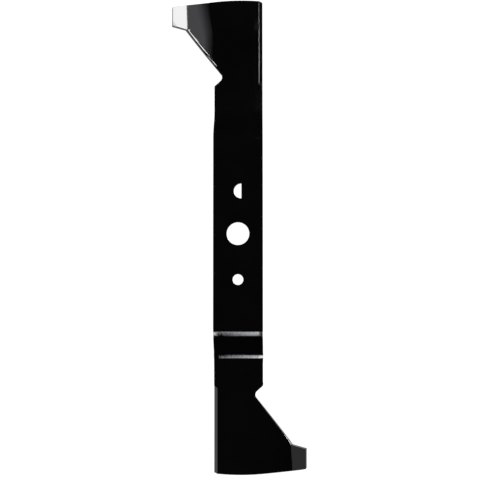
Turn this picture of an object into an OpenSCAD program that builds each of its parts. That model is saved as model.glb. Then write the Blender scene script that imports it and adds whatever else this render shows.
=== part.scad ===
// Lawn mower blade with dropped ends and a lifting wing behind each cutting edge.
// One steel strip: blanked, stepped down on both sides of the hub, rolled up at the wings,
// ground along the two cutting edges and painted.
// +Z is up, towards the mower deck. Y runs along the blade. The origin is the centre of the
// bore at the hub's top face. Both arms are the same, half a turn apart.

/* [Strip] */
// Thickness of the steel strip
sheet_t = 4; // [3:0.25:5]
// Width of the bar between its two long edges
bar_w = 50; // [46:0.5:56]
// Radius of the circle that both ends of the blade sweep
sweep_r = 244.8; // [232:0.2:280]

/* [Hub] */
// Diameter of the centre bore
bore_d = 22.7; // [12:0.1:30]
// Diameter of the round drive-pin hole
pin_d = 10.7; // [6:0.1:16]
// Distance from the centre bore to the round drive-pin hole
pin_y = 46; // [36:0.5:60]
// Radius of the D-shaped drive hole
dee_r = 7.5; // [5:0.1:10]
// Width of the D-shaped drive hole from its flat to the far side of its round
dee_w = 7.65; // [5:0.05:9]
// Distance from the centreline to the flat of the D-shaped hole
dee_flat_x = 3.45; // [2:0.05:6]
// Distance from the centre bore to the middle of the D-shaped hole
dee_y = 43; // [32:0.5:60]

/* [Step] */
// Distance from the centre to the upper fold line of each step
fold_y = 100.9; // [80:0.1:104]
// Drop from the hub's top face to the top face of the end plates
drop = 17.2; // [13:0.1:22]
// Angle of the sloping stretch between the hub and an end plate
step_angle = 36.5; // [28:0.5:48]
// Inside radius of the step's bends
bend_r = 11; // [4:0.5:16]

/* [Cutting edge] */
// Width of the ground face, seen from above
grind_w = 3.45; // [2:0.05:8]
// Height of the blunt land left under the ground face
grind_land = 0.6; // [0.2:0.1:1.5]
// Length along the edge over which the grinding runs out
runout_len = 2.8; // [1:0.1:8]

/* [Wing] */
// Distance from the centreline to the tip of the wing
wing_reach = 67.8; // [60:0.2:76]
// Angle of the wing's flat tip above the end plate
wing_angle = 18; // [12:0.5:24]
// Radius of the roll that lifts the wing, on its top face
roll_r = 100; // [70:1:125]
// Angle between the roll's axis and the length of the blade
roll_skew = 6.2; // [3:0.2:9]
// Length of the straight outer edge of the tip
tip_len = 19.8; // [14:0.2:24]
// Angle of the tip's inner edge, from square to the blade
heel_angle = 10; // [4:0.5:16]
// Angle between the wing's long flank and the length of the blade
flank_angle = 38; // [35:0.5:40]

/* [Notch] */
// Distance from the end of the blade back to the middle of the notch
notch_back = 80.8; // [74:0.2:88]
// Radius at the root of the notch
notch_r = 5.1; // [3:0.1:6]
// Distance from the centreline to the root of the notch
notch_root_x = 17.2; // [14:0.1:19]
// Angle between the notch's inner side and the length of the blade
notch_angle = 48; // [40:0.5:60]

/* [Hidden] */
$fn = 96;

// Spare length by which cutters pass a face and joined stretches lap each other
spare = 3;
// Arcs run past the flats that they touch by this little, so that the two meet
arc_lap = 0.002;
// Straight cuts start this far inside the round of the notch that they touch
cut_lap = 0.02;
// The line where the roll starts passes the notch's centre at this share of its radius
root_share = 0.9;

// Half width of the bar, and the height of an end plate's top face
half_w = bar_w / 2;
end_z = -drop;

// Lower fold line of each step, as a distance from the centre, and the place where the end plate starts
lower_fold_y = fold_y + drop / tan(step_angle);
plate_y = lower_fold_y + bend_r * tan(step_angle / 2);

// Plan points of the arm that points to +Y, with its wing on the -X side
notch_c = [-(notch_root_x + notch_r), sweep_r - notch_back];
flank_out = [-cos(flank_angle), -sin(flank_angle)];
side_dir = [-sin(notch_angle), -cos(notch_angle)];
side_start = notch_c + (notch_r - cut_lap) * [cos(notch_angle), -sin(notch_angle)];
side_end = side_start + side_dir * (half_w + spare + side_start.x) / sin(notch_angle);
notch_side_y = side_start.y - (half_w + side_start.x) / tan(notch_angle);
tip_outer = [-wing_reach, sqrt(sweep_r * sweep_r - wing_reach * wing_reach)];
tip_inner = tip_outer - [0, tip_len];
flank_start = notch_c - (notch_r - cut_lap) * flank_out;

// The tip's inner edge and the flank meet at the heel
heel_x = (flank_start.y - tip_inner.y + flank_start.x / tan(flank_angle) + wing_reach * tan(heel_angle))
       / (1 / tan(flank_angle) - tan(heel_angle));
heel = [heel_x, flank_start.y - (heel_x - flank_start.x) / tan(flank_angle)];

// The roll starts on a line that runs out of the notch: root is a point on it, roll_along runs along
// it to the end of the blade and roll_out square to it, away from the bar
roll_along = [-sin(roll_skew), cos(roll_skew)];
roll_out = [-cos(roll_skew), -sin(roll_skew)];
root = notch_c - notch_r * root_share * roll_out;
roll_len = sweep_r - root.y + spare * 2;

// Slope and height of the rolled top face at a distance s from the start of the roll
function slope_at(s) = s <= 0 ? 0 : min(asin(min(s / roll_r, 1)), wing_angle);
function rise_at(s) = roll_r * (1 - cos(slope_at(s)))
                    + max(s - roll_r * sin(wing_angle), 0) * tan(wing_angle);
function out_of(p) = (p - root) * roll_out;
function along_of(p) = (p - root) * roll_along;

// A plan point of the wing's top face, seen square to a plane that tilts up from the roll's start
function on_tilt(p, tilt) = [
    out_of(p) * cos(tilt) + rise_at(out_of(p)) * sin(tilt),
    along_of(p)
];

// What lies between a circle and the corner of the two lines that touch it, half an angle to each side.
// The lines are tangent at the given reach, so a reach past the circle takes in some of the sheet.
module spandrel(r, reach, angle) {
    difference() {
        polygon([
            [0, 0], reach * [sin(angle / 2), -cos(angle / 2)],
            [0, -reach / cos(angle / 2)], reach * [-sin(angle / 2), -cos(angle / 2)]
        ]);
        circle(r = r + arc_lap);
    }
}

// Rounds one fold of a side view: a fillet on its hollow side and a round on its other side.
// The fold's hollow side faces the bend's centre, at an angle from straight down.
module round_fold(centre, facing, angle, inside_r) {
    difference() {
        union() {
            children();
            translate(centre)
                rotate(facing)
                    spandrel(inside_r, inside_r + sheet_t / 2, angle);
        }
        translate(centre)
            rotate(facing)
                spandrel(inside_r + sheet_t, inside_r + sheet_t + spare, angle);
    }
}

// Side view of half the bar: hub, slope and the start of the end plate, with both folds rounded
module half_profile() {
    set_back = sheet_t * tan(step_angle / 2);
    upper_y = fold_y - (bend_r + sheet_t) * tan(step_angle / 2);
    round_fold([upper_y, -sheet_t - bend_r], 180 - step_angle / 2, step_angle, bend_r)
        round_fold([plate_y, end_z + bend_r], -step_angle / 2, step_angle, bend_r)
            polygon([
                [-spare, 0], [fold_y, 0], [lower_fold_y, end_z], [plate_y + spare, end_z],
                [plate_y + spare, end_z - sheet_t], [lower_fold_y - set_back, end_z - sheet_t],
                [fold_y - set_back, -sheet_t], [-spare, -sheet_t]
            ]);
}

// The stepped bar between the two end plates
module bar() {
    for (turn = [0, 180])
        rotate([90, 0, 90 + turn])
            translate([0, 0, -half_w])
                linear_extrude(bar_w)
                    half_profile();
}

// Flat stretch of an arm between the step, the cutting edge and the line where the roll starts
module end_plate() {
    lap = -roll_out * spare / 2;
    far = root + lap + roll_along * roll_len;
    translate([0, 0, end_z - sheet_t])
        linear_extrude(sheet_t)
            polygon([
                [-half_w, plate_y], [half_w, plate_y], [half_w, far.y],
                far, root + lap + roll_along * spare, root, notch_c, [-half_w, notch_c.y]
            ]);
}

// Section of the wing square to the roll: a lap on the end plate, the roll and the flat tip
module wing_section() {
    fold_at = roll_r * tan(wing_angle / 2);
    tip_end = out_of(tip_inner) + spare;
    tip_rise = rise_at(tip_end);
    set_off = sheet_t * tan(wing_angle / 2);
    round_fold([0, roll_r], wing_angle / 2, wing_angle, roll_r)
        polygon([
            [-spare, 0], [fold_at, 0], [tip_end, tip_rise],
            [tip_end + sheet_t * sin(wing_angle), tip_rise - sheet_t * cos(wing_angle)],
            [fold_at + set_off, -sheet_t], [-spare, -sheet_t]
        ]);
}

// The wing before it is trimmed
module wing_sheet() {
    translate([root.x, root.y, end_z])
        rotate([90, 0, 180 + roll_skew])
            linear_extrude(roll_len)
                wing_section();
}

// Notch between the bar and the wing: a round root and a straight inner side
module notch_cut() {
    translate([0, 0, end_z - sheet_t - spare])
        linear_extrude(sheet_t + spare * 2) {
            translate(notch_c)
                circle(r = notch_r);
            polygon([notch_c, side_start, side_end, [side_end.x, notch_c.y]]);
        }
}

// Cuts the wing along an outline on its top face. The cut is square to a plane that tilts up from
// the roll's start.
module tilted_cut(tilt, outline) {
    translate([root.x, root.y, end_z])
        rotate([0, 0, 180 + roll_skew])
            rotate([0, -tilt, 0])
                translate([0, 0, -wing_reach])
                    mirror([0, 1, 0])
                        linear_extrude(wing_reach * 2)
                            polygon([for (p = outline) on_tilt(p, tilt)]);
}

// Everything past the flank and the heel, cut square to the chord of the roll
module flank_cut() {
    outer_x = -wing_reach * 2;
    tilted_cut(wing_angle / 2, [
        notch_c, flank_start, heel, [outer_x, tip_inner.y - (outer_x + wing_reach) * tan(heel_angle)],
        [outer_x, side_end.y], side_end
    ]);
}

// Everything past the tip, cut square to the flat tip
module tip_cut() {
    tilted_cut(wing_angle, [
        [-wing_reach, root.y], [-wing_reach, sweep_r + wing_reach],
        [-wing_reach * 2, sweep_r + wing_reach], [-wing_reach * 2, root.y]
    ]);
}

// Ground face along the cutting edge, with its slanting run-out beside the notch
module grind_cut() {
    fall = sheet_t - grind_land;
    run = [grind_w, -fall] / norm([grind_w, fall]) * spare;
    inner = [half_w - grind_w, end_z];
    outer = [half_w, end_z - fall];
    start_y = notch_side_y;
    stop_y = sweep_r + spare;
    skew = [-grind_w, runout_len] / grind_w;
    intersection() {
        translate([0, stop_y, 0])
            rotate([90, 0, 0])
                linear_extrude(stop_y - start_y + spare)
                    polygon([inner - run, outer + run, [outer.x + run.x, inner.y - run.y]]);
        translate([0, 0, end_z - sheet_t - spare])
            linear_extrude(sheet_t + spare * 3)
                polygon([
                    [half_w, start_y] - skew * spare * 2, [half_w, start_y] + skew * (grind_w + spare),
                    [half_w - grind_w - spare, stop_y], [half_w + spare * 2, stop_y]
                ]);
    }
}

// Outer stretch of an arm
module arm_end() {
    difference() {
        union() {
            end_plate();
            wing_sheet();
        }
        notch_cut();
        tip_cut();
        flank_cut();
        grind_cut();
    }
}

// Centre bore and the two drive holes, one round and one D-shaped
module hub_holes() {
    translate([0, 0, -sheet_t - spare]) {
        cylinder(h = sheet_t + spare * 2, d = bore_d);
        translate([0, -pin_y, 0])
            cylinder(h = sheet_t + spare * 2, d = pin_d);
        linear_extrude(sheet_t + spare * 2)
            translate([dee_flat_x, dee_y])
                intersection() {
                    translate([dee_r - dee_w, 0])
                        circle(r = dee_r);
                    translate([-dee_r * 2, -dee_r * 2])
                        square([dee_r * 2, dee_r * 4]);
                }
    }
}

module blade() {
    color("#151517")
        difference() {
            intersection() {
                union() {
                    bar();
                    for (turn = [0, 180])
                        rotate([0, 0, turn])
                            arm_end();
                }
                translate([0, 0, end_z - sheet_t - spare])
                    cylinder(h = drop + sheet_t + spare * 2 + wing_reach, r = sweep_r, $fn = 360);
            }
            hub_holes();
        }
}

blade();
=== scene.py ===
"""A lawn mower blade on a pale studio floor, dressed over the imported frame.

The blade is made here as the real one is: a flat steel blank is cut out, drilled and ground, its
edges are broken, and then its wings are rolled up and its two steps are folded. Sizes are in
millimetres and are those of the solid that the piece stands for, apart from the inside radius of
the folds, which is 2 mm softer here.
"""

import logging
import math
from dataclasses import dataclass
from enum import Enum

import bpy
from mathutils import Matrix, Vector


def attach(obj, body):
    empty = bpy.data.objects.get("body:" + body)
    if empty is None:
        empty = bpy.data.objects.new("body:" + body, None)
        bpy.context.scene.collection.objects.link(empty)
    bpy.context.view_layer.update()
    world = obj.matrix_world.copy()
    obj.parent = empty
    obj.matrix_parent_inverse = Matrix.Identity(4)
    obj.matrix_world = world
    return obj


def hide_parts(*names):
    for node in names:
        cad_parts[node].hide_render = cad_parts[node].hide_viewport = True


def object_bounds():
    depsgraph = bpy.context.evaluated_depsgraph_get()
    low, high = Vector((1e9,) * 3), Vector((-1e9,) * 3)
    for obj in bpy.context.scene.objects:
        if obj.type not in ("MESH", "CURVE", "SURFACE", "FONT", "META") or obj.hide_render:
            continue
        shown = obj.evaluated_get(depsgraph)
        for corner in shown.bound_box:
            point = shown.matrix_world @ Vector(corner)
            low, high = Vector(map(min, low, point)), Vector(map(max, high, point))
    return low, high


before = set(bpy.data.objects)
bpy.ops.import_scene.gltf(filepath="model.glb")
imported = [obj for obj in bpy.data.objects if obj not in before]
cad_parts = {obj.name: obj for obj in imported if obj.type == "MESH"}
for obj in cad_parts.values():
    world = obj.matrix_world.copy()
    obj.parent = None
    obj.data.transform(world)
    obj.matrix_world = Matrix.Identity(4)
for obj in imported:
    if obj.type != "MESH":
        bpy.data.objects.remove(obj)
CAD_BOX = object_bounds()

LOG = logging.getLogger("blade")
MM = 0.001
TINY = 1e-3
FAR = 1000.0

# A mix node's colour sockets go by number, as its number sockets have the same names.
MIX_FIRST_COLOUR = 6
MIX_SECOND_COLOUR = 7
MIX_COLOUR_RESULT = 2


class Edge(Enum):
    """The kinds of edge on the finished strip, each with its own rounding."""

    BLANKED = "blanked"
    TIP = "tip"
    UNDER = "under"
    STRIP = "strip"
    HOLE = "hole"
    GROUND = "ground"
    KEEN = "keen"
    CORNER = "corner"
    INNER = "inner"


class Fold(Enum):
    """The two kinds of bend, each with the axis that it turns about."""

    WING = "Y"
    STEP = "X"


@dataclass(frozen=True)
class Bend:
    """One bend of a flat sheet: of a wing, which lies towards -X, or of a step, which lies towards +Y.

    Attributes:
        fold: the kind of bend.
        start: how far out the bent stretch starts.
        length: its length along the middle of the sheet.
        angle: degrees by which it is bent, upwards if positive.
        centre_z: the height of the axis that it is bent about.
        strips: how many flat strips stand for the round.
        above: the y past which vertices are moved.
        score_above: the y past which faces are scored.
    """

    fold: Fold
    start: float
    length: float
    angle: float
    centre_z: float
    strips: int
    above: float
    score_above: float

    @property
    def outward(self) -> Vector:
        """Direction in which the bent stretch runs out."""
        return Vector((0, 1, 0)) if self.fold is Fold.STEP else Vector((-1, 0, 0))


@dataclass(frozen=True)
class BladeSizes:
    """Driving sizes of the blade, in millimetres and degrees, and the places worked out from them.

    The inside radius of the folds, bend_r, is 2 mm more than the solid's, because the light at the
    folds then looks nearer to the photograph's. roll_inset is a share of the notch's radius.
    """

    sheet_t: float = 4.0
    bar_w: float = 50.0
    sweep_r: float = 244.8
    bore_d: float = 22.7
    pin_d: float = 10.7
    pin_y: float = 46.0
    dee_r: float = 7.5
    dee_w: float = 7.65
    dee_flat_x: float = 3.45
    dee_y: float = 43.0
    fold_y: float = 100.9
    drop: float = 17.2
    step_angle: float = 36.5
    bend_r: float = 13.0
    grind_w: float = 3.45
    grind_land: float = 0.6
    runout_len: float = 2.8
    wing_reach: float = 67.8
    wing_angle: float = 18.0
    roll_r: float = 100.0
    roll_skew: float = 6.2
    roll_inset: float = 0.9
    tip_len: float = 19.8
    heel_angle: float = 10.0
    flank_angle: float = 38.0
    notch_back: float = 80.8
    notch_r: float = 5.1
    notch_root_x: float = 17.2
    notch_angle: float = 48.0

    @property
    def half_w(self) -> float:
        """Half the width of the bar."""
        return self.bar_w / 2

    @property
    def bend_len(self) -> float:
        """Length of strip, along its middle, in one bend of the step."""
        return (self.bend_r + self.sheet_t / 2) * math.radians(self.step_angle)

    @property
    def upper_bend_y(self) -> float:
        """Where the hub ends and the upper bend starts."""
        return self.fold_y - (self.bend_r + self.sheet_t) * self._half_turn

    @property
    def lower_bend_y(self) -> float:
        """Where the lower bend starts on the flat blank."""
        slope = self.drop / math.sin(math.radians(self.step_angle))
        straight = slope - (2 * self.bend_r + self.sheet_t) * self._half_turn
        return self.upper_bend_y + self.bend_len + straight

    @property
    def plate_shift(self) -> float:
        """How much further out a point of the end plate lies on the flat blank than on the blade."""
        return self.lower_bend_y + self.bend_len - self.plate_start_y

    @property
    def plate_start_y(self) -> float:
        """Where the flat end plate starts, on the finished blade."""
        lower_fold = self.fold_y + self.drop / math.tan(math.radians(self.step_angle))
        return lower_fold + self.bend_r * self._half_turn

    @property
    def _half_turn(self) -> float:
        """Tangent of half the step's angle."""
        return math.tan(math.radians(self.step_angle / 2))

    @property
    def notch(self) -> Vector:
        """Centre of the notch's round root, on the finished blade."""
        return Vector((-(self.notch_root_x + self.notch_r), self.sweep_r - self.notch_back))

    @property
    def flank_dir(self) -> Vector:
        """Direction of the wing's long flank, away from the notch."""
        angle = math.radians(self.flank_angle)
        return Vector((-math.sin(angle), math.cos(angle)))

    @property
    def flank_start(self) -> Vector:
        """Where the flank touches the round of the notch."""
        return self.notch + Vector((self.flank_dir.y, -self.flank_dir.x)) * self.notch_r

    @property
    def side_dir(self) -> Vector:
        """Direction of the notch's inner side, towards the edge of the bar."""
        angle = math.radians(self.notch_angle)
        return Vector((-math.sin(angle), -math.cos(angle)))

    @property
    def side_start(self) -> Vector:
        """Where the notch's inner side touches its round."""
        return self.notch + Vector((-self.side_dir.y, self.side_dir.x)) * self.notch_r

    @property
    def side_end(self) -> Vector:
        """Where the notch's inner side meets the long edge of the bar."""
        run = (self.half_w + self.side_start.x) / -self.side_dir.x
        return self.side_start + self.side_dir * run

    @property
    def tip_outer(self) -> Vector:
        """Corner of the wing's tip at the end of the blade."""
        return Vector((-self.wing_reach, math.sqrt(self.sweep_r ** 2 - self.wing_reach ** 2)))

    @property
    def tip_inner(self) -> Vector:
        """Corner of the wing's tip towards the hub."""
        return self.tip_outer - Vector((0, self.tip_len))

    @property
    def heel(self) -> Vector:
        """Corner where the flank meets the tip's inner edge."""
        rise = math.tan(math.radians(self.heel_angle))
        steep = 1 / math.tan(math.radians(self.flank_angle))
        start, tip = self.flank_start, self.tip_inner
        x = (start.y - tip.y + start.x * steep + self.wing_reach * rise) / (steep - rise)
        return Vector((x, start.y - (x - start.x) * steep))

    @property
    def roll_out(self) -> Vector:
        """Direction square to the roll's start, away from the bar."""
        angle = math.radians(self.roll_skew)
        return Vector((-math.cos(angle), -math.sin(angle)))

    @property
    def root(self) -> Vector:
        """A point on the line where the roll starts, just inside the notch's root."""
        return self.notch - self.roll_out * self.notch_r * self.roll_inset

    @property
    def roll_len(self) -> float:
        """Length of strip, along its middle, in the roll."""
        return (self.roll_r + self.sheet_t / 2) * math.radians(self.wing_angle)

    def on_blank(self, point: Vector) -> Vector:
        """Finds a point of the finished arm on the flat blank.

        Args:
            point: a plan point on the top face of the finished end plate or wing.

        Returns:
            The same point of the strip before it is rolled and folded.
        """
        reach = (point - self.root).dot(self.roll_out)
        wing = math.radians(self.wing_angle)
        rolled = self.roll_r * math.sin(wing)
        if reach <= 0 or point.y < self.root.y:
            flat = reach
        elif reach < rolled:
            flat = math.asin(reach / self.roll_r) * (self.roll_r + self.sheet_t / 2)
        else:
            flat = self.roll_len + (reach - rolled) / math.cos(wing)
        return point + self.roll_out * (flat - reach) + Vector((0, self.plate_shift))


class Bench:
    """The few hand operations that the blade is made with. Sizes come in millimetres."""

    @staticmethod
    def clear() -> None:
        """Deselects everything in object mode."""
        if bpy.context.mode != "OBJECT":
            bpy.ops.object.mode_set(mode="OBJECT")
        bpy.ops.object.select_all(action="DESELECT")

    @classmethod
    def hold(cls, piece: bpy.types.Object) -> None:
        """Makes a piece the only selected and active one.

        Args:
            piece: the piece.
        """
        cls.clear()
        piece.select_set(True)
        bpy.context.view_layer.objects.active = piece

    @classmethod
    def box(cls, name: str, low: tuple, high: tuple) -> bpy.types.Object:
        """Adds a block.

        Args:
            name: the piece's name.
            low: its lowest corner.
            high: its highest corner.

        Returns:
            The block, with its place in its mesh.
        """
        cls.clear()
        middle = [(a + b) / 2 * MM for a, b in zip(low, high)]
        size = [(b - a) * MM for a, b in zip(low, high)]
        bpy.ops.mesh.primitive_cube_add(size=1, location=middle, scale=size)
        piece = bpy.context.active_object
        piece.name = name
        bpy.ops.object.transform_apply(location=True, rotation=True, scale=True)
        return piece

    @classmethod
    def rod(cls, name: str, radius: float, centre: tuple, z: tuple, sides: int) -> bpy.types.Object:
        """Adds an upright round bar.

        Args:
            name: the piece's name.
            radius: its radius.
            centre: its axis, in plan.
            z: its lower and upper ends.
            sides: how many flat sides stand for the round.

        Returns:
            The bar, with its place in its mesh.
        """
        cls.clear()
        bpy.ops.mesh.primitive_cylinder_add(
            vertices=sides, radius=radius * MM, depth=(z[1] - z[0]) * MM,
            location=(centre[0] * MM, centre[1] * MM, (z[0] + z[1]) / 2 * MM),
        )
        piece = bpy.context.active_object
        piece.name = name
        bpy.ops.object.transform_apply(location=True, rotation=True, scale=True)
        return piece

    @classmethod
    def trim(cls, piece: bpy.types.Object, point: tuple, normal: tuple) -> None:
        """Cuts a piece with a plane and closes the cut, dropping what lies on the normal's side.

        Args:
            piece: the piece.
            point: a point of the plane.
            normal: the plane's normal, of any length.
        """
        cls.hold(piece)
        bpy.ops.object.mode_set(mode="EDIT")
        bpy.ops.mesh.select_all(action="SELECT")
        bpy.ops.mesh.bisect(
            plane_co=[c * MM for c in point],
            plane_no=Vector(normal).normalized(),
            use_fill=True,
            clear_outer=True,
        )
        bpy.ops.object.mode_set(mode="OBJECT")

    @classmethod
    def trim_line(cls, piece: bpy.types.Object, start: Vector, end: Vector) -> None:
        """Cuts a piece upright along a plan line, dropping what lies right of the way to its end."""
        cls.trim(piece, (*start, 0), (end.y - start.y, start.x - end.x, 0))

    @classmethod
    def cut(cls, piece: bpy.types.Object, tool: bpy.types.Object) -> None:
        """Takes a tool's shape out of a piece, and drops the tool.

        Args:
            piece: the piece.
            tool: the shape that is taken out.
        """
        cls.hold(piece)
        step = piece.modifiers.new("cut", "BOOLEAN")
        step.operation = "DIFFERENCE"
        step.solver = "EXACT"
        step.object = tool
        bpy.ops.object.modifier_apply(modifier=step.name)
        bpy.data.objects.remove(tool, do_unlink=True)

    @classmethod
    def weld(cls, piece: bpy.types.Object, within: float) -> None:
        """Merges the vertices that lie near each other and turns all faces outward.

        Args:
            piece: the piece.
            within: the distance up to which two vertices become one.
        """
        cls.hold(piece)
        bpy.ops.object.mode_set(mode="EDIT")
        bpy.ops.mesh.select_all(action="SELECT")
        bpy.ops.mesh.remove_doubles(threshold=within * MM)
        bpy.ops.mesh.normals_make_consistent(inside=False)
        bpy.ops.object.mode_set(mode="OBJECT")

    @classmethod
    def spin(cls, piece: bpy.types.Object, angle: float) -> None:
        """Turns a piece's mesh about the blade's axis.

        Args:
            piece: the piece.
            angle: the turn in degrees, anticlockwise as seen from above.
        """
        cls.hold(piece)
        piece.rotation_euler.z = math.radians(angle)
        bpy.ops.object.transform_apply(location=False, rotation=True, scale=False)

    @classmethod
    def score(cls, piece: bpy.types.Object, point: tuple, normal: tuple, above_y: float = -FAR,
              below_y: float = FAR) -> None:
        """Adds a line of edges where a plane meets the faces whose middle lies in a stretch of y.

        Args:
            piece: the piece.
            point: a point of the plane.
            normal: the plane's normal, of length 1.
            above_y: where the stretch starts.
            below_y: where it ends.
        """
        chosen = [above_y * MM < face.center.y < below_y * MM for face in piece.data.polygons]
        cls.hold(piece)
        bpy.ops.object.mode_set(mode="EDIT")
        bpy.ops.mesh.select_mode(type="FACE")
        bpy.ops.mesh.select_all(action="DESELECT")
        bpy.ops.object.mode_set(mode="OBJECT")
        piece.data.polygons.foreach_set("select", chosen)
        bpy.ops.object.mode_set(mode="EDIT")
        bpy.ops.mesh.bisect(plane_co=[c * MM for c in point], plane_no=normal)
        bpy.ops.object.mode_set(mode="OBJECT")

    @classmethod
    def bend(cls, piece: bpy.types.Object, bend: Bend) -> None:
        """Bends a flat stretch of sheet round an arc and swings what lies beyond it.

        Args:
            piece: the sheet.
            bend: what is bent, and how far.
        """
        outward = bend.outward
        stride = bend.length / bend.strips
        for line in range(bend.strips + 1):
            place = outward * (bend.start + stride * line)
            cls.score(piece, tuple(place), tuple(outward), bend.score_above)
        beyond = [
            (v.co / MM).dot(outward) - bend.start if v.co.y > bend.above * MM else -1.0
            for v in piece.data.vertices
        ]
        for line in range(1, bend.strips + 1):
            chosen = [reach > stride * line - TINY for reach in beyond]
            cls.pick(piece, chosen)
            bpy.ops.transform.translate(value=outward * -stride * MM)
            bpy.ops.object.mode_set(mode="OBJECT")
        for line in range(1, bend.strips + 1):
            chosen = [reach > stride * line - TINY for reach in beyond]
            cls.pick(piece, chosen)
            bpy.ops.transform.rotate(
                value=-math.radians(bend.angle / bend.strips),
                orient_axis=bend.fold.value,
                orient_type="GLOBAL",
                center_override=(outward * bend.start + Vector((0, 0, bend.centre_z))) * MM,
            )
            bpy.ops.object.mode_set(mode="OBJECT")

    @classmethod
    def pick(cls, piece: bpy.types.Object, chosen: list) -> None:
        """Goes into edit mode with some of a piece's vertices selected.

        Args:
            piece: the piece.
            chosen: for each of its vertices, whether it is selected.
        """
        cls.hold(piece)
        bpy.ops.object.mode_set(mode="EDIT")
        bpy.ops.mesh.select_mode(type="VERT")
        bpy.ops.mesh.select_all(action="DESELECT")
        bpy.ops.object.mode_set(mode="OBJECT")
        piece.data.vertices.foreach_set("select", chosen)
        bpy.ops.object.mode_set(mode="EDIT")

    @classmethod
    def press(cls, piece: bpy.types.Object, chosen: list, level: float, kept: float) -> None:
        """Presses some of a piece's vertices towards a level plane.

        Args:
            piece: the piece.
            chosen: for each of its vertices, whether it is pressed.
            level: the height of the plane.
            kept: the share of its distance from the plane that a vertex keeps.
        """
        cls.pick(piece, chosen)
        bpy.ops.transform.resize(value=(1, 1, kept), center_override=(0, 0, level * MM))
        bpy.ops.object.mode_set(mode="OBJECT")


def circle_through(a: Vector, b: Vector, c: Vector) -> tuple:
    """Finds the circle through three points.

    Args:
        a: one point.
        b: another point.
        c: a third point, not in line with the others.

    Returns:
        The circle's centre and its radius.
    """
    u, v = b - a, c - a
    turn = 2 * u.cross(v)
    off = Vector((v.y * u.dot(u) - u.y * v.dot(v), u.x * v.dot(v) - v.x * u.dot(u))) / turn
    return a + off, off.length


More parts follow.
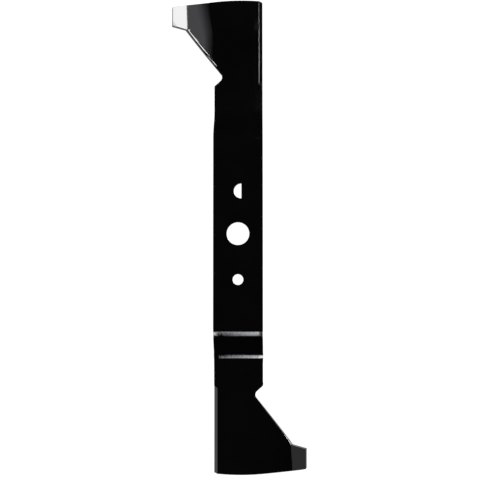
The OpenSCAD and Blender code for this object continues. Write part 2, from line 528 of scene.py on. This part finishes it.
class Blade:
    """The blade, made from a flat blank as the real one is.

    Its own values come in four blocks. The first says how many flat strips stand for each round.
    The second has the rollover, as the share of its depth that it keeps, and the curl and the
    squeeze of a fold's sides. The third has how far the blank and the tools reach past the blade,
    and the distances and angles up to which it is welded and smoothed. The fourth has the margins
    that tell where a point lies, and the radii of the edges.
    """

    ARC_SIDES = 720
    HOLE_SIDES = 96
    BEND_STRIPS = 12
    ROLL_STRIPS = 18
    ROUND_STRIPS = 8

    ROLLOVER = 0.19
    CURL = 0.2
    CURL_REACH = 7.0
    CURL_LINES = (0.8, 2.0, 3.5, 5.2)
    CURL_GRIP = (0.5, 2.0)
    SQUEEZE = 0.3

    BLANK_SPARE = (1.3, 1.2)
    TOOL_REACH = 2.0
    END_TOOL_SPAN = (0.5, 1.5)
    GRIND_TOOL_REACH = 1.4
    PAST_SHEET = 5.0
    PAST_NOTCH = 10.0
    PAST_END = 20.0
    PAST_GRIND = 3.0
    PAST_TOOL = 1.0
    BEFORE_ROLL = 1.0
    END_OVERLAP = 0.02
    WELD_CUTS = 0.02
    WELD_ROUNDS = 0.005
    WELD_FOLDS = 0.002
    SHARP_ANGLE = 20.0
    SMOOTH_ANGLE = 32.0

    NEAR_HOLE = 5.0
    NEAR_NOTCH = 1.0
    NEAR_GRIND = 0.5
    NEAR_KEEN = 0.3
    NEAR_TIP = 0.3
    NEAR_END = 1.5
    TIP_SPAN = (-1.0, 1.2)
    GAP_END = 1.0
    GAP_HEEL = 0.05
    GAP_ROOT = 5.0
    WIDEST = 3.4
    RADII = {
        Edge.BLANKED: WIDEST,
        Edge.TIP: 0.35,
        Edge.UNDER: 0.3,
        Edge.STRIP: 0.2,
        Edge.HOLE: 0.3,
        Edge.GROUND: 0.15,
        Edge.KEEN: 0.08,
        Edge.CORNER: 0.7,
        Edge.INNER: 0.0,
    }

    def __init__(self, sizes: BladeSizes, paint: bpy.types.Material) -> None:
        """Keeps what the blade is made to.

        Args:
            sizes: the driving sizes.
            paint: the finish.
        """
        self.sizes = sizes
        self.paint = paint
        self.tool_z = (-sizes.sheet_t - self.PAST_SHEET, self.PAST_SHEET)

    def make(self) -> bpy.types.Object:
        """Makes the blade.

        Returns:
            The finished piece, standing for the CAD solid.
        """
        s = self.sizes
        room = (s.wing_reach * self.BLANK_SPARE[0], s.sweep_r * self.BLANK_SPARE[1])
        piece = Bench.box("blade_dressed", (-room[0], -room[1], -s.sheet_t), (*room, 0))
        for _ in range(2):
            for tool in self.arm_tools():
                Bench.cut(piece, tool)
            Bench.spin(piece, 180)
        for tool in self.hole_tools():
            Bench.cut(piece, tool)
        Bench.weld(piece, self.WELD_CUTS)
        self.break_edges(piece)
        self.roll_over(piece)
        self.form_arm(piece)
        Bench.spin(piece, 180)
        self.form_arm(piece)
        self.curl_sides(piece)
        self.press_flat(piece)
        Bench.spin(piece, 180)
        self.dress(piece)
        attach(piece, "root")
        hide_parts("blade")
        return piece

    def arm_tools(self) -> list:
        """Makes the cutters for the outline and the ground edge of the arm that points to +Y.

        Returns:
            The cutters.
        """
        return [*self.side_tools(), *self.notch_tools(), self.tip_tool(), *self.end_tools(),
                self.grind_tool()]

    def block(self, name: str, x: tuple, y: tuple) -> bpy.types.Object:
        """Adds a block that reaches through the sheet, over the given stretches of x and y."""
        return Bench.box(name, (x[0], y[0], self.tool_z[0]), (x[1], y[1], self.tool_z[1]))

    def side_tools(self) -> list:
        """Makes the cutters for the two long edges of the bar.

        Returns:
            The cutter for the ground side and the one for the notch's side.
        """
        s = self.sizes
        far = s.sweep_r * self.TOOL_REACH
        notch_y = s.side_end.y + s.plate_shift
        return [self.block("right", (s.half_w, far), (-1, far)),
                self.block("left", (-far, -s.half_w), (-1, notch_y))]

    def notch_tools(self) -> list:
        """Makes the punch for the notch's round root and the cutter for the gap beside the wing.

        Returns:
            The punch and the cutter.
        """
        s = self.sizes
        centre, start, heel, tip, side = (
            s.on_blank(p) for p in (s.notch, s.flank_start, s.heel, s.tip_inner, s.side_start)
        )
        root = Bench.rod("root", s.notch_r, centre, self.tool_z, self.HOLE_SIDES)
        gap = self.block("gap", (-s.sweep_r, 0), (0, s.sweep_r * self.TOOL_REACH))
        Bench.trim_line(gap, start, heel)
        Bench.trim_line(gap, heel, tip)
        Bench.trim_line(gap, side + s.side_dir * self.PAST_NOTCH, side)
        Bench.trim_line(gap, side, start)
        return [root, gap]

    def tip_tool(self) -> bpy.types.Object:
        """Makes the cutter for the wing's tip.

        Returns:
            The cutter.
        """
        s = self.sizes
        tool = self.block("tip", (-s.sweep_r, 0), (0, s.sweep_r * self.TOOL_REACH))
        Bench.trim_line(tool, s.on_blank(s.tip_inner), s.on_blank(s.tip_outer))
        return tool

    def end_tools(self) -> list:
        """Makes the cutters for the round end.

        Returns:
            The cutter for its stretch on the plate and the one for its stretch on the wing.
        """
        s = self.sizes
        meet_x = s.root.x + (s.root.y - s.sweep_r) * math.tan(math.radians(s.roll_skew))
        tools = []
        for stretch in ((meet_x, s.half_w), (-s.wing_reach, meet_x)):
            on_arc = [
                s.on_blank(Vector((x, math.sqrt(s.sweep_r ** 2 - x ** 2))))
                for x in (stretch[0], sum(stretch) / 2, stretch[1])
            ]
            centre, radius = circle_through(*on_arc)
            low, high = on_arc[0].x, on_arc[2].x
            low = low - self.PAST_END if stretch[0] < meet_x else low
            high = high + (self.PAST_END if stretch[1] > meet_x else self.END_OVERLAP)
            tool = self.block("end", (low, high), tuple(s.sweep_r * n for n in self.END_TOOL_SPAN))
            z = (self.tool_z[0] - self.PAST_TOOL, self.tool_z[1] + self.PAST_TOOL)
            Bench.cut(tool, Bench.rod("sweep", radius, centre, z, self.ARC_SIDES))
            tools.append(tool)
        return tools

    def grind_tool(self) -> bpy.types.Object:
        """Makes the cutter for the ground face, with its slanting run-out.

        Returns:
            The cutter.
        """
        s = self.sizes
        fall = s.sheet_t - s.grind_land
        start = s.side_end.y + s.plate_shift
        x = (s.half_w - s.grind_w - self.PAST_GRIND, s.half_w + self.PAST_GRIND)
        tool = self.block("grind", x, (start - self.PAST_END, s.sweep_r * self.GRIND_TOOL_REACH))
        Bench.trim(tool, (s.half_w, 0, -fall), (-fall, 0, -s.grind_w))
        Bench.trim(tool, (s.half_w, start, 0), (-s.runout_len, -s.grind_w, 0))
        return tool

    def hole_tools(self) -> list:
        """Makes the punches for the holes.

        Returns:
            The punches for the centre bore, the round drive hole and the D-shaped one.
        """
        s = self.sizes
        dee_x = s.dee_flat_x + s.dee_r - s.dee_w
        bore = Bench.rod("bore", s.bore_d / 2, (0, 0), self.tool_z, self.HOLE_SIDES)
        pin = Bench.rod("pin", s.pin_d / 2, (0, -s.pin_y), self.tool_z, self.HOLE_SIDES)
        dee = Bench.rod("dee", s.dee_r, (dee_x, s.dee_y), self.tool_z, self.HOLE_SIDES)
        Bench.trim(dee, (s.dee_flat_x, 0, 0), (1, 0, 0))
        return [bore, pin, dee]

    def kind_of(self, ends: list) -> Edge:
        """Tells what kind of edge lies between two vertices of the flat blade.

        Args:
            ends: the two vertices' places, in millimetres.

        Returns:
            The kind of edge.
        """
        s = self.sizes
        middle = (ends[0] + ends[1]) / 2
        if middle.y < 0:
            middle = Vector((-middle.x, -middle.y, middle.z))
        holes = (((0, 0), s.bore_d / 2), ((0, s.pin_y), s.dee_r))
        near_hole = any((middle.xy - Vector(c)).length < r + self.NEAR_HOLE for c, r in holes)
        ground_y = s.side_end.y + s.plate_shift - self.NEAR_NOTCH
        if near_hole:
            return Edge.HOLE if abs(ends[0].z - ends[1].z) < TINY else Edge.INNER
        if middle.x > s.half_w - s.grind_w - self.NEAR_GRIND and middle.y > ground_y:
            on_top = max(ends[0].z, ends[1].z) > -TINY and middle.x < s.half_w - self.NEAR_KEEN
            return Edge.GROUND if on_top else Edge.KEEN
        if abs(ends[0].z - ends[1].z) > TINY:
            return Edge.CORNER
        if middle.z < -s.sheet_t / 2:
            return Edge.UNDER
        if self.off_tip(middle.xy) < self.NEAR_TIP:
            return Edge.TIP
        on_end = (middle.xy - Vector((0, s.plate_shift))).length > s.sweep_r - self.NEAR_END
        if abs(abs(middle.x) - s.half_w) < TINY or on_end:
            return Edge.STRIP
        return Edge.BLANKED

    def off_tip(self, point: Vector) -> float:
        """Measures how far a point lies from the two straight edges of the wing's tip.

        Args:
            point: a plan point of the flat blade.

        Returns:
            The distance, or a far one where the point lies past the edges' ends.
        """
        s = self.sizes
        corners = [s.on_blank(p) for p in (s.heel, s.tip_inner, s.tip_outer)]
        low, high = self.TIP_SPAN
        nearest = FAR
        for start, end in zip(corners, corners[1:]):
            side, off = end - start, point - start
            if low < off.dot(side) / side.dot(side) < high:
                nearest = min(nearest, abs(off.cross(side.normalized())))
        return nearest

    def in_gap(self, point: Vector) -> bool:
        """Tells whether a point lies beside the notch or the flank.

        Args:
            point: a plan point of the flat blade.

        Returns:
            Whether it does.
        """
        s = self.sizes
        if point.y < 0:
            point = -point
        inside_end = (point - Vector((0, s.plate_shift))).length < s.sweep_r - self.GAP_END
        past_side = point.y > s.side_end.y + s.plate_shift - self.NEAR_NOTCH
        low, high = s.on_blank(s.heel).x - self.GAP_HEEL, self.GAP_ROOT - s.notch_root_x
        return low < point.x < high and past_side and inside_end

    def break_edges(self, piece: bpy.types.Object) -> None:
        """Rounds every edge of the flat blade by the radius of its kind.

        Args:
            piece: the flat blade.
        """
        mesh = piece.data
        places = [v.co / MM for v in mesh.vertices]
        beside = {e.key: [] for e in mesh.edges}
        for face in mesh.polygons:
            for key in face.edge_keys:
                beside[key].append(face.normal)
        weights = []
        for edge in mesh.edges:
            normals = beside[edge.key]
            sharp = len(normals) == 2 and normals[0].angle(normals[1]) > math.radians(self.SHARP_ANGLE)
            kind = self.kind_of([places[v] for v in edge.vertices]) if sharp else Edge.INNER
            weights.append(self.RADII[kind] / self.WIDEST)
        mesh.attributes.new("bevel_weight_edge", "FLOAT", "EDGE").data.foreach_set("value", weights)
        Bench.hold(piece)
        step = piece.modifiers.new("round", "BEVEL")
        step.limit_method = "WEIGHT"
        step.width = self.WIDEST * MM
        step.segments = self.ROUND_STRIPS
        step.use_clamp_overlap = False
        step.miter_outer = "MITER_SHARP"
        bpy.ops.object.modifier_apply(modifier=step.name)
        Bench.weld(piece, self.WELD_ROUNDS)

    def roll_over(self, piece: bpy.types.Object) -> None:
        """Squashes the rounded top edge beside the notch and the flank to a wide, shallow rollover.

        Args:
            piece: the flat blade.
        """
        rim = [-self.WIDEST - TINY < v.co.z / MM < -TINY and self.in_gap(v.co.xy / MM)
               for v in piece.data.vertices]
        Bench.press(piece, rim, 0.0, self.ROLLOVER)

    def form_arm(self, piece: bpy.types.Object) -> None:
        """Rolls up the wing and folds the step of the arm that points to +Y.

        Args:
            piece: the blade, with this arm still flat.
        """
        s = self.sizes
        plate_y = s.lower_bend_y + s.bend_len
        for y in (s.upper_bend_y, plate_y):
            Bench.score(piece, (0, y, 0), (0, 1, 0))
        line = s.root + Vector((0, s.plate_shift))
        line.rotate(Matrix.Rotation(math.radians(-s.roll_skew), 2))
        Bench.spin(piece, -s.roll_skew)
        Bench.bend(piece, Bend(Fold.WING, -line.x, s.roll_len, s.wing_angle, s.roll_r,
                               self.ROLL_STRIPS, line.y - self.BEFORE_ROLL, plate_y))
        Bench.spin(piece, s.roll_skew)
        for start, angle, centre_z in (
            (s.lower_bend_y, s.step_angle, s.bend_r),
            (s.upper_bend_y, -s.step_angle, -s.sheet_t - s.bend_r),
        ):
            Bench.bend(piece, Bend(Fold.STEP, start, s.bend_len, angle, centre_z,
                                   self.BEND_STRIPS, 0, 0))

    def curl_sides(self, piece: bpy.types.Object) -> None:
        """Curls the sides of the two folds of the arm that points to +Y, as a bent strip's may.

        Only one arm is curled, because only that arm's folds catch the light.

        Args:
            piece: the formed blade.
        """
        s = self.sizes
        half = math.radians(s.step_angle / 2)
        upper, lower = s.bend_r + s.sheet_t, s.bend_r
        upper_y = s.upper_bend_y + upper * math.sin(half)
        lower_y = s.plate_start_y - lower * math.sin(half)
        span = upper * math.sin(half)
        grip_x, grip_y = self.CURL_GRIP
        for x in (-1, 1):
            for inset in self.CURL_LINES:
                Bench.score(piece, (x * (s.half_w - inset), 0, 0), (1, 0, 0),
                            upper_y - span, lower_y + span)
        for y, sign in ((upper_y, 1), (lower_y, -1)):
            for x in (-1, 1):
                chosen = [
                    abs(v.co.y / MM - y) < grip_y and abs(v.co.x / MM * x - s.half_w) < grip_x
                    for v in piece.data.vertices
                ]
                Bench.pick(piece, chosen)
                bpy.ops.transform.translate(
                    value=Vector((-x * sign * self.SQUEEZE, sign * self.CURL * math.sin(half),
                                  sign * self.CURL * math.cos(half))) * MM,
                    use_proportional_edit=True,
                    proportional_edit_falloff="SHARP",
                    proportional_size=self.CURL_REACH * MM,
                )
                bpy.ops.object.mode_set(mode="OBJECT")

    def press_flat(self, piece: bpy.types.Object) -> None:
        """Presses what the curl moved past the hub's top or the plate's underside back to it.

        Args:
            piece: the formed blade.
        """
        for level, up in ((0.0, 1), (-self.sizes.drop - self.sizes.sheet_t, -1)):
            beyond = [(v.co.z / MM - level) * up > 0 for v in piece.data.vertices]
            Bench.press(piece, beyond, level, 0)

    def dress(self, piece: bpy.types.Object) -> None:
        """Smooths the finished blade and paints it.

        Args:
            piece: the formed blade.
        """
        Bench.weld(piece, self.WELD_FOLDS)
        Bench.hold(piece)
        bpy.ops.object.shade_smooth_by_angle(angle=math.radians(self.SMOOTH_ANGLE))
        step = piece.modifiers.new("even", "WEIGHTED_NORMAL")
        step.keep_sharp = True
        bpy.ops.object.modifier_apply(modifier=step.name)
        piece.data.materials.clear()
        piece.data.materials.append(self.paint)


class Look:
    """A material under construction: its nodes, and short ways to add and join them."""

    def __init__(self, tree: bpy.types.NodeTree) -> None:
        """Keeps what is worked on.

        Args:
            tree: the node tree.
        """
        self.tree = tree

    def add(self, kind: str, **inputs: object) -> bpy.types.Node:
        """Adds a node and sets or joins its inputs.

        Args:
            kind: the node's type.
            inputs: values or output sockets, by input name with _ for a space.

        Returns:
            The node.
        """
        node = self.tree.nodes.new(kind)
        for name, value in inputs.items():
            socket = node.inputs[name.replace("_", " ")]
            if isinstance(value, bpy.types.NodeSocket):
                self.tree.links.new(value, socket)
            else:
                socket.default_value = value
        return node


@dataclass(frozen=True)
class Paint:
    """A glossy black paint on steel, with an orange peel that is stronger at one arm's folds.

    Places and depths are in metres here, as the material's nodes read them.

    Attributes:
        deep: its colour where it is darkest.
        worn: its colour where it is palest.
        roughness: how rough it is where it is smoothest.
        roughness_spread: how much rougher it gets at most.
        cloud_scale: how fine the pattern of colour and roughness is.
        cloud_detail: how many layers that pattern has.
        cloud_range: the stretch of that pattern over which the roughness changes.
        peel_scale: how fine the orange peel is.
        peel_detail: how many layers it has.
        peel_depth: how deep it is.
        fold_peel: how many times deeper it is at the folds.
        fold_y: the middle of those folds.
        fold_half: how far the deeper peel reaches on either side.
        fold_fade: over what length it fades out there.
        ior: its index of refraction.
    """

    deep: tuple = (0.0005, 0.0005, 0.0006, 1.0)
    worn: tuple = (0.0015, 0.0014, 0.0015, 1.0)
    roughness: float = 0.025
    roughness_spread: float = 0.008
    cloud_scale: float = 28.0
    cloud_detail: float = 4.0
    cloud_range: tuple = (0.3, 0.7)
    peel_scale: float = 330.0
    peel_detail: float = 1.0
    peel_depth: float = 0.000004
    fold_peel: float = 9.0
    fold_y: float = -0.113
    fold_half: float = 0.018
    fold_fade: float = 0.008
    ior: float = 1.5

    def group(self) -> bpy.types.NodeTree:
        """Makes the group that gives the paint's uneven surface.

        Returns:
            A group with a wear mask, a roughness and a height over the surface.
        """
        tree = bpy.data.node_groups.new("paint_surface", "ShaderNodeTree")
        for name in ("Wear", "Roughness", "Height"):
            tree.interface.new_socket(name, in_out="OUTPUT", socket_type="NodeSocketFloat")
        look = Look(tree)
        place = look.add("ShaderNodeTexCoord").outputs["Object"]
        cloud = look.add("ShaderNodeTexNoise", Vector=place, Scale=self.cloud_scale,
                         Detail=self.cloud_detail)
        peel = look.add("ShaderNodeTexNoise", Vector=place, Scale=self.peel_scale,
                        Detail=self.peel_detail)
        along = look.add("ShaderNodeSeparateXYZ", Vector=place)
        apart = look.add("ShaderNodeMath", Value=along.outputs["Y"])
        apart.operation = "SUBTRACT"
        apart.inputs[1].default_value = self.fold_y
        away = look.add("ShaderNodeMath", Value=apart.outputs["Value"])
        away.operation = "ABSOLUTE"
        strength = look.add("ShaderNodeMapRange", Value=away.outputs["Value"],
                            From_Min=self.fold_half, From_Max=self.fold_half + self.fold_fade,
                            To_Min=self.fold_peel, To_Max=1.0)
        strength.interpolation_type = "SMOOTHSTEP"
        height = look.add("ShaderNodeMath", Value=peel.outputs["Fac"])
        height.operation = "MULTIPLY"
        tree.links.new(strength.outputs["Result"], height.inputs[1])
        spread = look.add("ShaderNodeMapRange", Value=cloud.outputs["Fac"],
                          From_Min=self.cloud_range[0], From_Max=self.cloud_range[1],
                          To_Min=self.roughness, To_Max=self.roughness + self.roughness_spread)
        out = look.add("NodeGroupOutput")
        tree.links.new(cloud.outputs["Fac"], out.inputs["Wear"])
        tree.links.new(spread.outputs["Result"], out.inputs["Roughness"])
        tree.links.new(height.outputs["Value"], out.inputs["Height"])
        return tree

    def make(self) -> bpy.types.Material:
        """Makes the material.

        Returns:
            The paint.
        """
        paint = bpy.data.materials.new("black_paint")
        paint.use_nodes = True
        tree = paint.node_tree
        tree.nodes.clear()
        look = Look(tree)
        surface = look.add("ShaderNodeGroup")
        surface.node_tree = self.group()
        tint = look.add("ShaderNodeMix")
        tint.data_type = "RGBA"
        tree.links.new(surface.outputs["Wear"], tint.inputs["Factor"])
        tint.inputs[MIX_FIRST_COLOUR].default_value = self.deep
        tint.inputs[MIX_SECOND_COLOUR].default_value = self.worn
        bump = look.add("ShaderNodeBump", Height=surface.outputs["Height"], Distance=self.peel_depth)
        shader = look.add("ShaderNodeBsdfPrincipled", Base_Color=tint.outputs[MIX_COLOUR_RESULT],
                          Roughness=surface.outputs["Roughness"], Normal=bump.outputs["Normal"],
                          IOR=self.ior)
        out = look.add("ShaderNodeOutputMaterial")
        tree.links.new(shader.outputs["BSDF"], out.inputs["Surface"])
        return paint


@dataclass(frozen=True)
class SoftBox:
    """A lamp that a point of the blade sees as a rectangle of sky.

    Attributes:
        name: the lamp's name.
        seen_from: the point, in millimetres.
        azimuth: the rectangle's right and left edges, in degrees anticlockwise from +X.
        elevation: its lower and upper edges, in degrees.
        radiance: its brightness.
        soft_azimuth: degrees by which it fades out past its right and left edges.
        soft_elevation: degrees by which it fades out past its lower and upper edges.
        sheets: how many sheets the lamp is made of, more than one where it fades out.
        ease: how the sheets crowd towards the inner edge, with 1 for evenly.
        distance: how far off it hangs, in metres.
        colour: its colour.
    """

    name: str
    seen_from: Vector
    azimuth: tuple
    elevation: tuple
    radiance: float
    soft_azimuth: tuple = (0.0, 0.0)
    soft_elevation: tuple = (0.0, 0.0)
    sheets: int = 1
    ease: float = 1.0
    distance: float = 4.0
    colour: tuple = (1.0, 1.0, 1.0)

    def hang(self) -> None:
        """Hangs the lamp as a stack of sheets that grow by the soft margins, so that it fades out."""
        for sheet in range(self.sheets):
            grown = ((sheet + 0.5) / self.sheets) ** self.ease if self.sheets > 1 else 0.0
            self.hang_sheet(
                (self.azimuth[0] - grown * self.soft_azimuth[0],
                 self.azimuth[1] + grown * self.soft_azimuth[1]),
                (self.elevation[0] - grown * self.soft_elevation[0],
                 self.elevation[1] + grown * self.soft_elevation[1]),
            )

    def hang_sheet(self, azimuths: tuple, elevations: tuple) -> None:
        """Hangs one sheet of the lamp, facing the blade and out of the camera's sight.

        Args:
            azimuths: its right and left edges, in degrees.
            elevations: its lower and upper edges, in degrees.
        """
        azimuth = math.radians(sum(azimuths) / 2)
        elevation = math.radians(sum(elevations) / 2)
        away = Vector((math.cos(azimuth) * math.cos(elevation),
                       math.sin(azimuth) * math.cos(elevation), math.sin(elevation)))
        Bench.clear()
        bpy.ops.object.light_add(type="AREA", location=self.seen_from * MM + away * self.distance)
        lamp = bpy.context.active_object
        lamp.name = self.name
        lamp.rotation_euler = away.to_track_quat("Z", "Y").to_euler()
        width = math.radians(azimuths[1] - azimuths[0]) * math.cos(elevation)
        height = math.radians(elevations[1] - elevations[0])
        lamp.data.shape = "RECTANGLE"
        lamp.data.size = 2 * self.distance * math.tan(width / 2)
        lamp.data.size_y = 2 * self.distance * math.tan(height / 2)
        area = lamp.data.size * lamp.data.size_y
        lamp.data.energy = self.radiance / self.sheets * area * math.pi
        lamp.data.color = self.colour
        lamp.visible_camera = False


class Studio:
    """A white floor, a dark room and the lamps that the paint mirrors.

    The floor's size is in metres, and the points that the lamps are seen from are in millimetres.
    """

    FLOOR_SIZE = 12.0
    FLOOR_GREY = (0.04, 0.04, 0.04, 1.0)
    FLOOR_WHITE = 1.04
    WHITE = (1.0, 1.0, 1.0, 1.0)
    BLACK = (0.0, 0.0, 0.0, 1.0)
    TOP_WING = Vector((-45, 210, -12))
    LOWER_WING = Vector((55, -215, -10))
    LOWER_STEP = Vector((0, -112, -10))
    COOL = (0.93, 0.94, 1.0)
    LAMPS = (
        SoftBox("key", TOP_WING, (36, 62), (30, 52.8), 21.5, soft_elevation=(0, 1.6), sheets=4),
        SoftBox("grey_card", TOP_WING, (40, 58), (53.6, 65), 2.25, soft_azimuth=(0, 26),
                soft_elevation=(0, 6), sheets=14, ease=1.7, colour=COOL),
        SoftBox("window", TOP_WING, (46, 60), (67, 75), 21.0),
        SoftBox("window_side", TOP_WING, (60, 73), (71.5, 78), 21.0),
        SoftBox("window_end", TOP_WING, (73, 81.5), (72.4, 77.3), 27.0),
        SoftBox("top_card", TOP_WING, (111, 130), (76.2, 77.8), 26.0),
        SoftBox("top_card_far", TOP_WING, (120, 150), (78.3, 79.5), 16.0),
        SoftBox("bevel_card", TOP_WING, (27, 39), (47, 66), 85.0),
        SoftBox("front", LOWER_STEP, (-86.5, -76), (53, 56), 15.0, soft_azimuth=(10.8, 2),
                soft_elevation=(20, 13), sheets=10, colour=COOL),
        SoftBox("front_end", LOWER_STEP, (-86, -74), (51, 58), 16.0, soft_azimuth=(2, 2),
                soft_elevation=(14, 10), sheets=5, colour=COOL),
        SoftBox("left_card", LOWER_WING, (-153, -137), (48, 52.9), 0.58),
    )

    def build(self, under: float) -> None:
        """Lays the floor under the blade and hangs the lamps.

        Args:
            under: the height of the blade's lowest point, in metres.
        """
        Bench.clear()
        bpy.ops.mesh.primitive_plane_add(size=self.FLOOR_SIZE, location=(0, 0, under))
        floor = bpy.context.active_object
        floor.name = "floor"
        floor.data.materials.append(self.floor_look())
        for lamp in self.LAMPS:
            lamp.hang()
        world = bpy.data.worlds.new("dark_room")
        world.use_nodes = True
        world.node_tree.nodes["Background"].inputs["Color"].default_value = self.BLACK
        bpy.context.scene.world = world

    def floor_look(self) -> bpy.types.Material:
        """Makes the floor's material: a pale sheet lit from within, so that no shadow shows on it.

        Returns:
            The material.
        """
        white = bpy.data.materials.new("lit_floor")
        white.use_nodes = True
        shader = white.node_tree.nodes["Principled BSDF"]
        shader.inputs["Base Color"].default_value = self.FLOOR_GREY
        shader.inputs["Specular IOR Level"].default_value = 0.0
        shader.inputs["Roughness"].default_value = 1.0
        shader.inputs["Emission Color"].default_value = self.WHITE
        shader.inputs["Emission Strength"].default_value = self.FLOOR_WHITE
        return white


@dataclass(frozen=True)
class Viewpoint:
    """The camera, as it was fitted to the photograph.

    Attributes:
        place: where it stands, in millimetres.
        tilt: its turn about X, in radians.
        swing: its turn about Y, in radians.
        roll: its turn about Z, in radians.
        focal: its focal length in pixels.
        image_side: the width and height of the picture in pixels.
        sensor: the width of its sensor, in millimetres.
        depth: the nearest and the farthest that it sees, in metres.
    """

    place: tuple = (20.776, -28.032, 599.022)
    tilt: float = 0.0361
    swing: float = 0.0312
    roll: float = -0.0014
    focal: float = 598.74
    image_side: float = 480.0
    sensor: float = 36.0
    depth: tuple = (0.01, 50.0)

    def stand(self) -> None:
        """Stands the camera and makes it the scene's."""
        Bench.clear()
        bpy.ops.object.camera_add(location=[c * MM for c in self.place])
        camera = bpy.context.active_object
        camera.name = "camera"
        facing = (
            Matrix.Rotation(self.tilt, 3, "X")
            @ Matrix.Rotation(self.swing, 3, "Y")
            @ Matrix.Rotation(self.roll, 3, "Z")
        )
        camera.rotation_euler = facing.to_euler()
        camera.data.sensor_width = self.sensor
        camera.data.lens = self.focal / self.image_side * self.sensor
        camera.data.clip_start, camera.data.clip_end = self.depth
        bpy.context.scene.camera = camera


def main() -> None:
    """Builds the scene."""
    logging.basicConfig(level=logging.INFO, format="%(name)s: %(message)s")
    blade = Blade(BladeSizes(), Paint().make()).make()
    LOG.info("blade: %d faces", len(blade.data.polygons))
    studio = Studio()
    studio.build(CAD_BOX[0][2])
    LOG.info("studio: floor and %d lamps", len(studio.LAMPS))
    Viewpoint().stand()
    bpy.context.scene.view_settings.view_transform = "Standard"
    bpy.context.view_layer.update()


if __name__ == "__main__":
    main()
